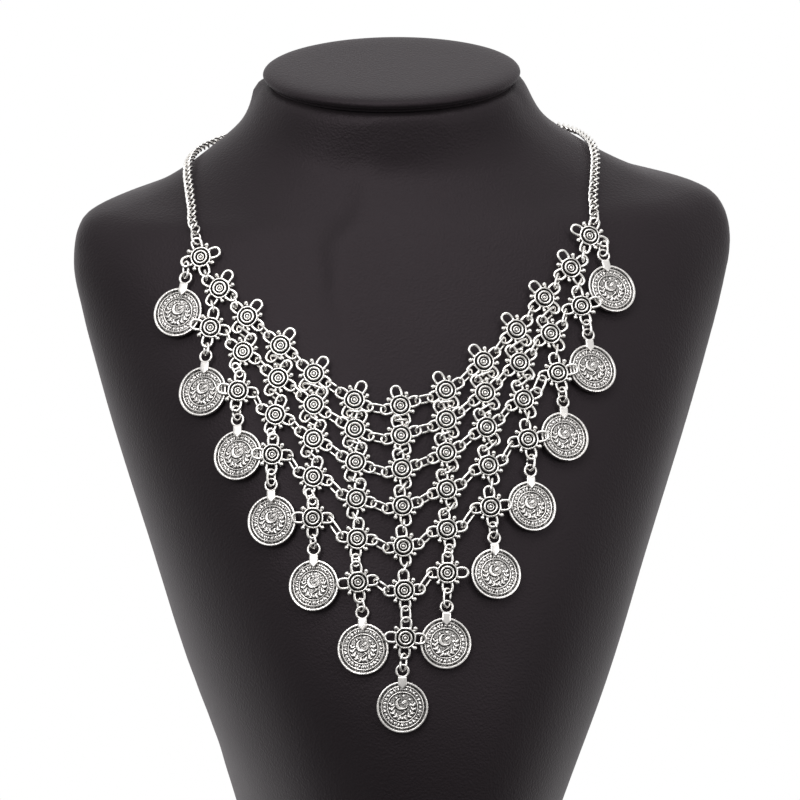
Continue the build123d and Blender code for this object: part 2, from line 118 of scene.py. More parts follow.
# Shapes as point and face lists
class Shape:
    """Points, groups of faces and the patina of each point, which also holds painted shade, gathered
    from several parts.
    """

    def __init__(self):
        self.points = []
        self.faces = []
        self.patina_and_shade = []
        self.count = 0

    def add(self, points, faces, patina_and_shade=0.0):
        points = np.asarray(points, float)
        self.points.append(points)
        self.faces += [np.asarray(group) + self.count for group in faces]
        self.patina_and_shade.append(np.broadcast_to(np.asarray(patina_and_shade, float), (len(points),)))
        self.count += len(points)
        return self

    def place(self, other, m):
        """Adds another shape, moved by a 4x4."""
        points = np.vstack(other.points) @ m[:3, :3].T + m[:3, 3]
        self.add(points, list(other.faces), np.concatenate(other.patina_and_shade))
        return self

    def build(self, name, material, body_nodes, slot):
        """Makes the object that stands in for the CAD nodes."""
        points = np.vstack(self.points) * MM
        mesh = bpy.data.meshes.new(name)
        loops = np.concatenate([group.ravel() for group in self.faces])
        sizes = np.concatenate([np.full(len(group), group.shape[1]) for group in self.faces])
        starts = np.concatenate([[0], np.cumsum(sizes)[:-1]])
        mesh.vertices.add(len(points))
        mesh.vertices.foreach_set("co", points.ravel())
        mesh.loops.add(len(loops))
        mesh.loops.foreach_set("vertex_index", loops.astype(np.int32))
        mesh.polygons.add(len(sizes))
        mesh.polygons.foreach_set("loop_start", starts.astype(np.int32))
        mesh.polygons.foreach_set("use_smooth", np.full(len(sizes), True))
        # the point attribute holds oxide patina and painted shade in the recesses
        patina_shade = mesh.attributes.new("patina_and_shade", "FLOAT", "POINT")
        patina_shade.data.foreach_set("value", np.concatenate(self.patina_and_shade).astype(np.float32))
        mesh.update()
        mesh.validate()
        obj = bpy.data.objects.new(name, mesh)
        scene.collection.objects.link(obj)
        mesh.materials.append(material)
        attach(obj, "root")
        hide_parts(*body_nodes)
        return obj


def round_angles(count):
    return np.linspace(0, 2 * pi, count, endpoint=False)


def ring_at(radius, height, angles):
    return np.stack([radius * np.cos(angles), radius * np.sin(angles), height], -1)


def grid_faces(rows, columns, wrap_rows=False):
    """Quads over rows of points. Each row closes to a ring."""
    i = np.arange(rows if wrap_rows else rows - 1)[:, None]
    j = np.arange(columns)[None, :]
    next_i, next_j = (i + 1) % rows, (j + 1) % columns
    quads = [i * columns + j, i * columns + next_j,
             next_i * columns + next_j, next_i * columns + j]
    return np.stack([np.broadcast_to(q, (i.size, j.size)) for q in quads], -1).reshape(-1, 4)


def end_fans(rows, columns):
    """Triangles from the two points after a grid to its first ring and to its last one."""
    k = np.arange(columns)
    ahead = (k + 1) % columns
    tip = rows * columns
    last = tip - columns
    return [
        np.stack([np.full(columns, tip), k, ahead], -1),
        np.stack([np.full(columns, tip + 1), last + ahead, last + k], -1),
    ]


def tube(path, radius, sides=10, closed=True):
    """A round wire along points. radius may vary along it. Its wall's faces wind inwards."""
    path = np.asarray(path, float)
    n = len(path)
    ahead = np.roll(path, -1, 0) - np.roll(path, 1, 0)
    if not closed:
        ahead[0] = path[1] - path[0]
        ahead[-1] = path[-1] - path[-2]
    ahead /= np.linalg.norm(ahead, axis=1)[:, None]
    normal = np.zeros_like(path)
    first = np.cross(ahead[0], [0.0, 0.0, 1.0])
    if np.linalg.norm(first) < 1e-3:
        first = np.cross(ahead[0], [0.0, 1.0, 0.0])
    normal[0] = unit(first)
    for k in range(1, n):
        normal[k] = unit(normal[k - 1] - ahead[k] * np.dot(normal[k - 1], ahead[k]))
    side = np.cross(ahead, normal)
    turn = 0.0
    if closed:
        # the frame's twist over one round is spread along the wire
        v = normal[-1] - ahead[0] * np.dot(normal[-1], ahead[0])
        turn = atan2(np.dot(v, side[0]), np.dot(v, normal[0]))
    angles = round_angles(sides)
    radius = np.broadcast_to(np.asarray(radius, float), (n,))
    rings = []
    for k in range(n):
        b = angles - turn * k / n
        around = np.outer(np.cos(b), normal[k]) + np.outer(np.sin(b), side[k])
        rings.append(path[k] + radius[k] * around)
    points = np.vstack(rings)
    faces = [grid_faces(n, sides, wrap_rows=closed)[:, ::-1]]
    if not closed:
        points = np.vstack([points, path[:1], path[-1:]])
        faces += [fan[:, ::-1] for fan in end_fans(n, sides)]
    return points, faces


def turned(profile, segments=48, shape=None):
    """A profile of (radius, height) turned about z. Its ends lie on the axis."""
    profile = np.asarray(profile, float)
    angles = round_angles(segments)
    wall = profile[1:-1]
    rings = []
    for r, z in wall:
        reach = np.full(segments, r) if shape is None else r * shape(angles, r)
        rings.append(ring_at(reach, np.full(segments, z), angles))
    points = np.vstack(rings + [[[0, 0, profile[0][1]]], [[0, 0, profile[-1][1]]]])
    faces = [grid_faces(len(wall), segments)]
    faces += [fan[:, [0, 2, 1]] for fan in end_fans(len(wall), segments)]
    return points, faces


def ball(centre, radius, squash, rings=7, segments=12):
    angles = np.linspace(-pi / 2, pi / 2, rings)
    profile = [(radius * cos(t), radius * squash * sin(t)) for t in angles]
    points, faces = turned(profile, segments)
    return points + np.asarray(centre, float), faces


def circle(radius, middle, count=36):
    return ring_at(radius, np.zeros(count), round_angles(count)) + np.array(middle)


# Rosette, as one casting
HUB_SEGMENTS = 56
# radius, height, and patina with painted shade in the grooves: thin outer rim, dark groove, raised
# ring, groove, small ring round a granule
HUB_PROFILE = [
    (0, -0.5, 0), (3.2, -0.5, 0), (3.55, -0.3, 0), (3.66, 0.02, 0), (3.62, 0.28, 0),
    (3.46, 0.42, 0), (3.24, 0.38, 0.1), (3.14, 0.2, 0.8), (3.06, -0.04, 1), (2.85, -0.12, 1),
    (2.62, -0.06, 1), (2.53, 0.1, 1), (2.5, 0.42, 0.2), (2.42, 0.66, 0), (2.22, 0.8, 0),
    (2.02, 0.78, 0), (1.85, 0.62, 0), (1.77, 0.36, 0.5), (1.72, 0.08, 1), (1.55, -0.02, 1),
    (1.36, 0.0, 1), (1.27, 0.18, 0.8), (1.22, 0.38, 0.1), (1.1, 0.5, 0), (0.94, 0.48, 0),
    (0.84, 0.34, 0.3), (0.74, 0.18, 1), (0.62, 0.2, 0.9), (0.52, 0.42, 0.2), (0.4, 0.6, 0),
    (0.22, 0.7, 0), (0, 0.74, 0),
]
ROUND_RADIUS = 2.65  # the hub's rings are round up to here, and squared a little past it
SQUARE_START = 2.6
SQUARING = 0.022
RIPPLE = 0.008
LOOP_FOOT = [(3.2, 1.42, 0.0), (3.9, 1.62, 0.02), (4.6, 1.74, 0.03), (5.2, 1.72, 0.02)]
LOOP_MIDDLE = 5.5
LOOP_REACH = 1.61
LOOP_HALF_WIDTH = 1.68
LOOP_LEVEL = 0.02
LOOP_STEPS = 12
LOOP_WIRE_RADIUS = 0.5
FILLET_PLACE = 3.4
FILLET_LEVEL = 0.05
FILLET_HALF_LENGTH = 1.6
FILLET_RADII = [0.2, 0.3, 0.33, 0.34, 0.33, 0.3, 0.2]
GRANULE_PLACE = (4.8, 0.12, 0.05)
GRANULE_RADIUS = 0.8
COMPANION_PLACE = (4.05, -0.2, 0.02)
COMPANION_RADIUS = 0.52
COMPANION_PATINA = 0.1
SQUASH = 0.9


def hub_rim(angles, radius):
    if radius < ROUND_RADIUS:
        return np.ones_like(angles)
    squared = SQUARING * np.cos(4 * angles) * (radius - SQUARE_START)
    return 1 - squared - RIPPLE * np.cos(8 * angles)


def turn_about_z(angle):
    return np.array([[cos(angle), -sin(angle), 0], [sin(angle), cos(angle), 0], [0, 0, 1]])


def rosette_shape():
    """The hub with four horseshoe loops, their solder fillets and four pairs of granules."""
    rosette = Shape()
    points, faces = turned([(r, z) for r, z, _ in HUB_PROFILE], HUB_SEGMENTS, hub_rim)
    # the grooves are darkened: oxide patina and painted shade
    shade = np.repeat([patina_shade for _, _, patina_shade in HUB_PROFILE[1:-1]], HUB_SEGMENTS)
    rosette.add(points, faces, np.concatenate([shade, [0, 0]]))
    bend = [pi / 2 - pi * k / LOOP_STEPS for k in range(1, LOOP_STEPS)]
    loop = LOOP_FOOT + [
        (LOOP_MIDDLE + LOOP_REACH * cos(t), LOOP_HALF_WIDTH * sin(t), LOOP_LEVEL) for t in bend]
    loop += [(x, -y, z) for x, y, z in reversed(LOOP_FOOT)]
    steps = np.linspace(-FILLET_HALF_LENGTH, FILLET_HALF_LENGTH, len(FILLET_RADII))
    fillet = [(FILLET_PLACE, y, FILLET_LEVEL) for y in steps]
    for quarter in range(4):
        angle = quarter * pi / 2
        turn = turn_about_z(angle)
        points, faces = tube(loop, LOOP_WIRE_RADIUS, 12, closed=False)
        rosette.add(points @ turn.T, faces)
        points, faces = tube(fillet, FILLET_RADII, 7, closed=False)
        rosette.add(points @ turn.T, faces)
        # granule with a small companion, on the diagonal
        turn = turn_about_z(angle + pi / 4)
        points, faces = ball(GRANULE_PLACE, GRANULE_RADIUS, SQUASH, 9, 14)
        rosette.add(points @ turn.T, faces)
        points, faces = ball(COMPANION_PLACE, COMPANION_RADIUS, SQUASH)
        rosette.add(points @ turn.T, faces, COMPANION_PATINA)
    return rosette


# Coin, its relief on a polar grid
COIN_R = 8.9
COIN_THICK = 1.1
COIN_SEGMENTS = 192
COIN_SPANS = ((0.15, 5.0, 34), (5.12, 7.9, 24), (8.0, 8.82, 9))
COIN_EDGE = [(8.88, 1.38), (8.9, 1.25), (8.9, 0.22), (8.82, 0.07), (8.6, 0.0)]
# heights of the struck forms over the field
RELIEF = {
    "rim": 0.35, "outer ring": 0.25, "inner ring": 0.24, "stud": 0.24, "stroke": 0.15,
    "leaf": 0.26, "stem": 0.17, "knot": 0.25, "crescent": 0.3, "almond": 0.27, "scroll": 0.24,
    "grain": 0.2, "field": 0.03,
}
BLEND = 0.2
RIM_BLEND = 0.16
RIM_WIDTH = 0.75
OUTER_RING = 0.815 * COIN_R
INNER_RING = 0.585 * COIN_R
STUDS = 28
STUD_RING = 0.7 * COIN_R
STROKE_RADII = (5.5, 7.05)
LEAF_FIELD = 5.05
LEAF_ROWS = ((0.475, 52), (0.375, 128))  # share of the coin's radius, lean in degrees
STEM_RING = 0.425 * COIN_R
KNOT_DROP = 0.44 * COIN_R
MOON = (-0.35, 1.1)
MOON_RADIUS = 2.15
HOLLOW = (0.3, 1.55)
HOLLOW_RADIUS = 1.75
ALMOND = (0.5, 1.65)
SCROLL_ENDS = (-3.1, -0.95)
SCROLL_SWAY = 0.95
GRAINS = ((-2.1, 3.1), (2.6, 2.6), (2.75, 0.6), (-2.75, 0.2), (0.4, 3.9))
# reach and blur of the painted shade and patina in the coin's low places
PATINA_SHADE_RADIUS = 8.25
PATINA_SHADE_BLURS = 8
BAIL_LEVEL = 1.55
BAIL_PLACE = 12.6
BAIL_RADIUS = 2.1
BAIL_WIRE_RADIUS = 0.43
TAB_OUTLINE = [
    (-1.5, 10.6), (-1.55, 9.4), (-1.55, 7.7), (0, 6.1), (1.55, 7.7), (1.55, 9.4), (1.5, 10.6)]
TAB_STEPS = 8
TAB_MIDDLE = (0.0, 8.7)
TAB_FOOT = 0.5
TAB_TOP = 2.05
TAB_LAYERS = ((0.0, TAB_FOOT), (0.0, 1.8), (0.06, 1.94), (0.2, 2.02), (0.6, TAB_TOP))


def bump(value, width):
    return np.exp(-((value / width) ** 2))


def ramped(distance, width=BLEND):
    """0 before a border and 1 past it, with a short ramp between them."""
    return np.clip(distance / width, 0, 1)


def leaf(x, y, place, angle, length, width):
    """A raised leaf with a groove along its middle, as a height from 0 to 1."""
    u = (x - place[0]) * cos(angle) + (y - place[1]) * sin(angle)
    v = -(x - place[0]) * sin(angle) + (y - place[1]) * cos(angle)
    inside = np.clip(1.15 - (u / length) ** 2 - np.abs(v / width) ** 1.6, 0, 1)
    return np.sqrt(inside) * (1 - 0.6 * bump(v, width * 0.18))


def border_relief(r, a):
    """Rim, two rings, and a band of studs with short uneven strokes, unlike any lettering."""
    rim = ramped(r - (COIN_R - RIM_WIDTH), RIM_BLEND) * ramped(COIN_R + 0.04 - r, RIM_BLEND) ** 0.5
    h = RELIEF["rim"] * rim
    h += RELIEF["outer ring"] * bump(r - OUTER_RING, 0.17)
    h += RELIEF["inner ring"] * bump(r - INNER_RING, 0.16)
    stud = (a / (2 * pi) * STUDS + 0.5) % 1 - 0.5
    stud_arc = stud * 2 * pi * STUD_RING / STUDS
    h += RELIEF["stud"] * bump(np.hypot(stud_arc, r - STUD_RING), 0.34)
    stroke = np.cos(56 * a + 1.1 * np.sin(5 * a)) * np.cos(2.9 * (r - 6.25) + np.sin(9 * a))
    band = ramped(r - STROKE_RADII[0]) * ramped(STROKE_RADII[1] - r)
    h += RELIEF["stroke"] * band * np.clip(stroke, 0, 1) ** 0.7
    return h


def coin_relief(x, y):
    """Height of the struck face over the field, in mm."""
    r = np.hypot(x, y)
    a = np.arctan2(y, x)
    h = border_relief(r, a)
    # two sprays of leaves on thin stems that meet at the foot
    inside = ramped(LEAF_FIELD - r)
    for side in (1, -1):
        for k in range(5):
            angle = radians(-90 + side * (15 + 22 * k))
            for reach, turn in LEAF_ROWS:
                place = (reach * COIN_R * cos(angle), reach * COIN_R * sin(angle))
                lean = angle + side * radians(turn)
                h += RELIEF["leaf"] * inside * leaf(x, y, place, lean, 0.72, 0.3)
    from_foot = np.abs(a + pi / 2)
    stem = (from_foot < radians(118)) & (from_foot > radians(6))
    h += RELIEF["stem"] * inside * stem * bump(r - STEM_RING, 0.12)
    h += RELIEF["knot"] * bump(np.hypot(x, y + KNOT_DROP), 0.42)
    # middle: a crescent that holds an almond, over an S-shaped scroll
    from_moon = np.hypot(x - MOON[0], y - MOON[1])
    crescent = from_moon < MOON_RADIUS
    hollow = ramped(np.hypot(x - HOLLOW[0], y - HOLLOW[1]) - HOLLOW_RADIUS)
    edge = ramped(MOON_RADIUS + 0.05 - from_moon)
    h += RELIEF["crescent"] * crescent * hollow * edge ** 0.5
    h += RELIEF["almond"] * leaf(x, y, ALMOND, radians(38), 1.05, 0.55)
    scroll_x = SCROLL_SWAY * np.sin((y + 2.4) * 1.9)
    along = ramped(y - SCROLL_ENDS[0], 0.3) * ramped(SCROLL_ENDS[1] - y, 0.3)
    h += RELIEF["scroll"] * along * bump(x - scroll_x, 0.26)
    for grain_x, grain_y in GRAINS:
        h += RELIEF["grain"] * bump(np.hypot(x - grain_x, y - grain_y), 0.3)
    uneven = np.sin(4.3 * x + 1.7 * np.sin(3.1 * y)) * np.sin(3.9 * y + 1.9 * np.sin(2.7 * x))
    return h + RELIEF["field"] * uneven


def low_places(h, radii):
    """Patina with painted shade of the face: strong where the relief lies below its blurred self."""
    wide = h.copy()
    for _ in range(PATINA_SHADE_BLURS):
        wide = (np.roll(wide, 1, 1) + np.roll(wide, -1, 1) + 2 * wide) / 4
        wide[1:-1] = (wide[:-2] + wide[2:] + 2 * wide[1:-1]) / 4
    return np.clip((wide - h) * 10 + 0.42 - h * 3.4, 0, 1) * ramped(PATINA_SHADE_RADIUS - radii)


def coin_face():
    """The struck face, the edge and the back of the coin, with patina and painted shade in its low
    places.
    """
    radii = np.concatenate([np.linspace(*span) for span in COIN_SPANS])
    angles = round_angles(COIN_SEGMENTS)
    grid_r, grid_a = np.meshgrid(radii, angles, indexing="ij")
    x, y = grid_r * np.cos(grid_a), grid_r * np.sin(grid_a)
    h = coin_relief(x, y)
    face = np.stack([x, y, COIN_THICK + h], -1).reshape(-1, 3)
    rings = [ring_at(r, np.full(COIN_SEGMENTS, z), angles) for r, z in COIN_EDGE]
    ends = [[[0, 0, COIN_THICK + float(coin_relief(0.0, 0.0))]], [[0, 0, 0.0]]]
    plain = np.zeros(COIN_SEGMENTS * len(COIN_EDGE))
    # low places of the relief are darkened: oxide patina and painted shade
    shade = np.concatenate([low_places(h, grid_r).ravel(), plain, [0.3, 0]])
    rows = len(radii) + len(COIN_EDGE)
    faces = [grid_faces(rows, COIN_SEGMENTS)[:, ::-1]] + end_fans(rows, COIN_SEGMENTS)
    return np.vstack([face] + rings + ends), faces, shade


def coin_tab():
    """The strip that holds the bail: it lies over the rim and ends in a point."""
    fine = []
    for p, q in zip(TAB_OUTLINE, TAB_OUTLINE[1:] + TAB_OUTLINE[:1]):
        shares = np.linspace(0, 1, TAB_STEPS, endpoint=False)
        fine += [np.array(p) * (1 - t) + np.array(q) * t for t in shares]
    fine = np.array(fine)
    inward = np.array(TAB_MIDDLE) - fine
    length = np.linalg.norm(inward, axis=1)
    layers = []
    for inset, z in TAB_LAYERS:
        ring = fine + inward * (inset / length)[:, None]
        layers.append(np.column_stack([ring, np.full(len(ring), z)]))
    faces = [grid_faces(len(layers), len(fine))[:, ::-1]] + end_fans(len(layers), len(fine))
    ends = [[[*TAB_MIDDLE, TAB_FOOT]], [[*TAB_MIDDLE, TAB_TOP]]]
    return np.vstack(layers + ends), faces


def coin_shape():
    coin = Shape()
    coin.add(*coin_face())
    coin.add(*coin_tab())
    coin.add(*tube(circle(BAIL_RADIUS, (0, BAIL_PLACE, BAIL_LEVEL)), BAIL_WIRE_RADIUS, 12))
    return coin


# Links
LINK_POINTS = 34
LINK_SIDES = 10
LINK_WIRE = 0.88
LINK_TWIST = 0.06
CUT_WAIST = 0.86
CUT_PATINA = 0.9


def oval_path(half_length, half_width, twist):
    """A long oval, twisted along its length."""
    a = round_angles(LINK_POINTS)
    straight = max(half_length - half_width, 0)
    x = half_width * np.cos(a) + straight * np.tanh(3 * np.cos(a))
    y = half_width * np.sin(a)
    t = twist * x / half_length
    return np.stack([x, y * np.cos(t), y * np.sin(t)], -1)


def link_shape(half_length, half_width, seed):
    """A bent wire link whose ends meet at a fine cut."""
    rng = np.random.default_rng(seed)
    path = oval_path(half_length, half_width, rng.uniform(-LINK_TWIST, LINK_TWIST))
    path = np.roll(path, rng.integers(0, LINK_POINTS), 0)
    radius = np.full(LINK_POINTS, LINK_WIRE / 2)
    radius[0] *= CUT_WAIST
    shade = np.zeros(LINK_POINTS)
    shade[0] = CUT_PATINA
    points, faces = tube(path, radius, LINK_SIDES)
    return Shape().add(points, faces, np.repeat(shade, LINK_SIDES))


def hang_links(node, name, material):
    """Lays a wire link over each solid of a node."""
    pile = Shape()
    for index, points in enumerate(solids(node)):
        middle, axes, size = spread(points)
        half_length, half_width = size[0] / 2 - LINK_WIRE / 2, size[1] / 2 - LINK_WIRE / 2
        link = link_shape(half_length, half_width, index * 7 + len(name))
        pile.place(link, pose(middle, axes[0], axes[2]))
    return pile.build(name, material, [node], "net_metal")


# Materials
SCRATCH = 0.02
# colour of the patina and of the painted shade in the recesses
BLACK_PATINA_AND_SHADE = (0.016, 0.015, 0.0145)
PINKISH = (1.0, 0.84, 0.93, 1)
PINKISH_SHEEN = (1.0, 0.86, 0.94, 1)
GRAIN_DEPTH = 0.2


def node_material(name):
    mat = bpy.data.materials.new(name)
    mat.use_nodes = True
    tree = mat.node_tree
    shader = tree.nodes["Principled BSDF"]
    return mat, tree, shader


def add_node(tree, kind, **settings):
    """A node with its inputs or, where no input has the name, its own settings."""
    node = tree.nodes.new(kind)
    for key, value in settings.items():
        if key in node.inputs:
            node.inputs[key].default_value = value
        else:
            setattr(node, key, value)
    return node


def ramp(tree, source, stops):
    node = tree.nodes.new("ShaderNodeValToRGB")
    elements = node.color_ramp.elements
    while len(elements) < len(stops):
        elements.new(0.5)
    for element, (position, colour) in zip(elements, stops):
        element.position = position
        element.color = (*colour, 1)
    tree.links.new(source, node.inputs["Fac"])
    return node


def silver(name, bright, roughness, tarnish):
    """Plated metal: bright on the high places, dark patina with painted shade in the recesses, worn
    unevenly.
    """
    mat, tree, shader = node_material(name)
    link = tree.links.new
    shader.inputs["Metallic"].default_value = 1.0
    place = tree.nodes.new("ShaderNodeTexCoord").outputs["Object"]
    cloud = add_node(tree, "ShaderNodeTexNoise", Scale=240.0, Detail=4.0, Roughness=0.6)
    grain = add_node(tree, "ShaderNodeTexNoise", Scale=2600.0, Detail=3.0, Roughness=0.7)
    link(place, cloud.inputs["Vector"])
    link(place, grain.inputs["Vector"])
    # painted shade: the point attribute darkens the recesses, as oxide patina and as shade
    patina_shade = add_node(tree, "ShaderNodeAttribute", attribute_name="patina_and_shade")
    mixed = add_node(tree, "ShaderNodeMath", operation="MULTIPLY_ADD")
    mixed.inputs[1].default_value = tarnish
    link(cloud.outputs["Fac"], mixed.inputs[0])
    link(patina_shade.outputs["Fac"], mixed.inputs[2])
    halfway = [(b + d) / 2 for b, d in zip(bright, BLACK_PATINA_AND_SHADE)]
    clean = tarnish * 0.6
    tint = ramp(tree, mixed.outputs["Value"], [
        (0.0, bright), (clean, bright), (clean + 0.3, halfway), (min(clean + 0.75, 1.0), BLACK_PATINA_AND_SHADE)])
    link(tint.outputs["Color"], shader.inputs["Base Color"])
    rough = add_node(tree, "ShaderNodeMapRange")
    rough.inputs["To Min"].default_value = roughness
    rough.inputs["To Max"].default_value = roughness + 0.3
    link(mixed.outputs["Value"], rough.inputs["Value"])
    link(rough.outputs["Result"], shader.inputs["Roughness"])
    relief = add_node(tree, "ShaderNodeBump", Strength=0.25, Distance=SCRATCH * MM)
    link(grain.outputs["Fac"], relief.inputs["Height"])
    link(relief.outputs["Normal"], shader.inputs["Normal"])
    return mat


def leatherette(name, base, light, roughness):
    """Fine-grained dark leatherette: pebble grain, soft sheen, faint uneven colour."""
    mat, tree, shader = node_material(name)
    link = tree.links.new
    place = tree.nodes.new("ShaderNodeTexCoord").outputs["Object"]
    cloud = add_node(tree, "ShaderNodeTexNoise", Scale=14.0, Detail=3.0)
    pebble = add_node(tree, "ShaderNodeTexVoronoi", Scale=1300.0, feature="SMOOTH_F1")
    crease = add_node(tree, "ShaderNodeTexNoise", Scale=1000.0, Detail=4.0, Roughness=0.7)
    for node in (cloud, pebble, crease):
        link(place, node.inputs["Vector"])
    tint = ramp(tree, cloud.outputs["Fac"], [(0.3, base), (0.75, light)])
    link(tint.outputs["Color"], shader.inputs["Base Color"])
    shader.inputs["Roughness"].default_value = roughness
    shader.inputs["Specular IOR Level"].default_value = 0.18
    shader.inputs["Specular Tint"].default_value = PINKISH
    shader.inputs["Sheen Weight"].default_value = 0.06
    shader.inputs["Sheen Tint"].default_value = PINKISH_SHEEN
    shader.inputs["Sheen Roughness"].default_value = 0.5
    height = add_node(tree, "ShaderNodeMath", operation="MULTIPLY_ADD")
    height.inputs[1].default_value = 0.6
    link(crease.outputs["Fac"], height.inputs[0])
    link(pebble.outputs["Distance"], height.inputs[2])
    relief = add_node(tree, "ShaderNodeBump", Strength=0.6, Distance=GRAIN_DEPTH * MM)
    link(height.outputs["Value"], relief.inputs["Height"])
    link(relief.outputs["Normal"], shader.inputs["Normal"])
    return mat


net_metal = silver("antique_silver", (0.86, 0.84, 0.81), 0.2, 0.3)
coin_metal = silver("coin_silver", (0.8, 0.775, 0.75), 0.27, 0.35)
chain_metal = silver("chain_silver", (0.88, 0.86, 0.83), 0.16, 0.2)
bust_cover = leatherette(
    "leatherette", (0.0072, 0.0057, 0.0065), (0.0102, 0.0081, 0.0092), 0.52)


# The net: each rosette faces out from the bust and is turned by its four loop ends
LOOP_END_DEPTH = 0.12
HUB_MIDDLE = 0.65


def rosette_pose(points):
    middle, axes, _ = spread(points)
    z = axes[2]
    if np.dot(z, outward(middle)) < 0:
        z = -z
    # the four loop ends are the farthest points
    local = points - middle
    flat = local - np.outer(local @ z, z)
    reach = np.linalg.norm(flat, axis=1)
    far = flat[reach > reach.max() - LOOP_END_DEPTH]
    x = unit(far[0])
    y = np.cross(z, x)
    turns = np.arctan2(far @ y, far @ x)
    turn = np.angle(np.exp(4j * turns).mean()) / 4
    m = pose(middle, x * cos(turn) + y * sin(turn), z)
    m[:3, 3] = middle + z * ((points @ z).min() + HUB_MIDDLE - middle @ z)
    return m


base_rosette = rosette_shape()
for row in range(1, 8):
    node = f"rosette_row_{row}"
    pile = Shape()
    for points in solids(node):
        pile.place(base_rosette, rosette_pose(points))
    pile.build(f"net_row_{row}", net_metal, [node], "net_metal")
for row in range(1, 7):
    hang_links(f"row_links_{row}", f"row_wires_{row}", net_metal)
    hang_links(f"column_links_{row}", f"column_wires_{row}", net_metal)
hang_links("coin_links", "coin_wires", net_metal)
hang_links("chain_end_links", "chain_end_wires", net_metal)


# The coins: their flat back gives the way they face, and the bail the way they hang
BACK_DEPTH = 0.01
CENTRING_ROUNDS = 30
CENTRING_STEP = 1.8
BAIL_START = COIN_R + 3.0


def coin_pose(node):
    widest = max(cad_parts[node].data.polygons, key=lambda polygon: polygon.area)
    z = np.array(widest.normal)
    points = solids(node)[0]
    if np.dot(z, outward(points.mean(0))) < 0:
        z = -z
    heights = points @ z
    rim = points[heights < heights.min() + BACK_DEPTH]
    disc = (rim.max(0) + rim.min(0)) / 2
    # the middle is moved until the back's points lie at the coin's radius from it
    for _ in range(CENTRING_ROUNDS):
        away = rim - disc
        excess = 1 - COIN_R / np.linalg.norm(away, axis=1)
        disc = disc + (away * excess[:, None]).mean(0) * CENTRING_STEP
    away = points - disc
    away = away - np.outer(away @ z, z)
    y = unit(away[np.linalg.norm(away, axis=1) > BAIL_START].mean(0))
    return pose(disc, np.cross(y, z), z)


base_coin = coin_shape()
for node in [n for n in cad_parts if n.startswith("coin_") and n != "coin_links"]:
    pile = Shape().place(base_coin, coin_pose(node))
    pile.build(node.replace("coin_", "medal_"), coin_metal, [node], "coin_metal")


# The chain, twisted curb links
CURB_HALF_LENGTH = 2.2
CURB_HALF_WIDTH = 1.5
CURB_TWIST = 0.95
CURB_WIRE_RADIUS = 0.38

curb_path = oval_path(CURB_HALF_LENGTH, CURB_HALF_WIDTH, CURB_TWIST)
curb_link = Shape().add(*tube(curb_path, CURB_WIRE_RADIUS, LINK_SIDES))
for side in ("left", "right"):
    node = f"chain_{side}"
    pile = Shape()
    for points in solids(node):
        middle, axes, _ = spread(points)
        pile.place(curb_link, pose(middle, axes[0], outward(middle)))
    pile.build(f"curb_{side}", chain_metal, [node], "chain_metal")


# The clasp: a beaded barrel with the solid's eyes
BARREL_HALF = 4.0
BARREL_END = [
    (0, 0), (1.0, 0), (1.25, 0.15), (1.3, 0.4), (1.15, 0.55),
    (1.15, 0.7), (1.5, 0.85), (1.6, 1.1), (1.6, 3.75), (1.5, 3.9)]
EYE_RADIUS = 1.35
EYE_WIRE_RADIUS = 0.4
EYE_SINK = 0.2
EYE_START = 4.2

points = solids("clasp")[0]
middle, axes, _ = spread(points)
profile = BARREL_END + [(r, 2 * BARREL_HALF - z) for r, z in reversed(BARREL_END)]
barrel, faces = turned(profile, 28)
barrel = barrel[:, [2, 0, 1]] - [BARREL_HALF, 0, 0]
clasp = Shape().place(Shape().add(barrel, faces), pose(middle, axes[0], axes[2]))
eye = Shape().add(*tube(circle(EYE_RADIUS, (0, 0, 0)), EYE_WIRE_RADIUS))
along = (points - middle) @ axes[0]
for end in (-1, 1):
    eye_points = points[end * along > EYE_START]
    _, _, eye_axes = np.linalg.svd(eye_points - eye_points.mean(0), full_matrices=False)
    eye_middle = middle + axes[0] * end * (BARREL_HALF + EYE_RADIUS - EYE_SINK)
    clasp.place(eye, pose(eye_middle, axes[0], eye_axes[2]))
clasp.build("barrel_clasp", chain_metal, ["clasp"], "chain_metal")


# The bust: the CAD skin, remeshed and smoothed
VOXEL = 0.0022
SMOOTH_ROUNDS = 6


def smooth_bust():
    mesh = bpy.data.meshes.new("bust_skin")
    bust_bm.to_mesh(mesh)
    obj = bpy.data.objects.new("bust_skin", mesh)
    scene.collection.objects.link(obj)
    bpy.context.view_layer.objects.active = obj
    obj.select_set(True)
    remesh = obj.modifiers.new("remesh", "REMESH")
    remesh.mode = "VOXEL"
    remesh.voxel_size = VOXEL
    remesh.use_smooth_shade = True
    smooth = obj.modifiers.new("smooth", "CORRECTIVE_SMOOTH")
    smooth.iterations = SMOOTH_ROUNDS
    smooth.use_only_smooth = True
    graph = bpy.context.evaluated_depsgraph_get()
    done = bpy.data.meshes.new_from_object(obj.evaluated_get(graph))
    bpy.data.objects.remove(obj)
    obj = bpy.data.objects.new("bust_skin", done)
    scene.collection.objects.link(obj)
    done.materials.clear()
    done.materials.append(bust_cover)
    return obj


bust = smooth_bust()
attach(bust, "root")
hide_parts("bust_body")


# The cap: a narrow foot, a soft shoulder and a flat top
# shares of half the cap's width and of half its height
CAP_EDGE = [
    (0.955, -1.0), (0.958, -0.7), (0.965, -0.5), (0.985, -0.38), (0.996, -0.22), (1.0, 0.0),
    (0.997, 0.2), (0.988, 0.4), (0.972, 0.57), (0.948, 0.71), (0.915, 0.82), (0.87, 0.9),
    (0.81, 0.955), (0.73, 0.985)]
CAP_FOOT_RINGS = 8
CAP_TOP_RINGS = 12

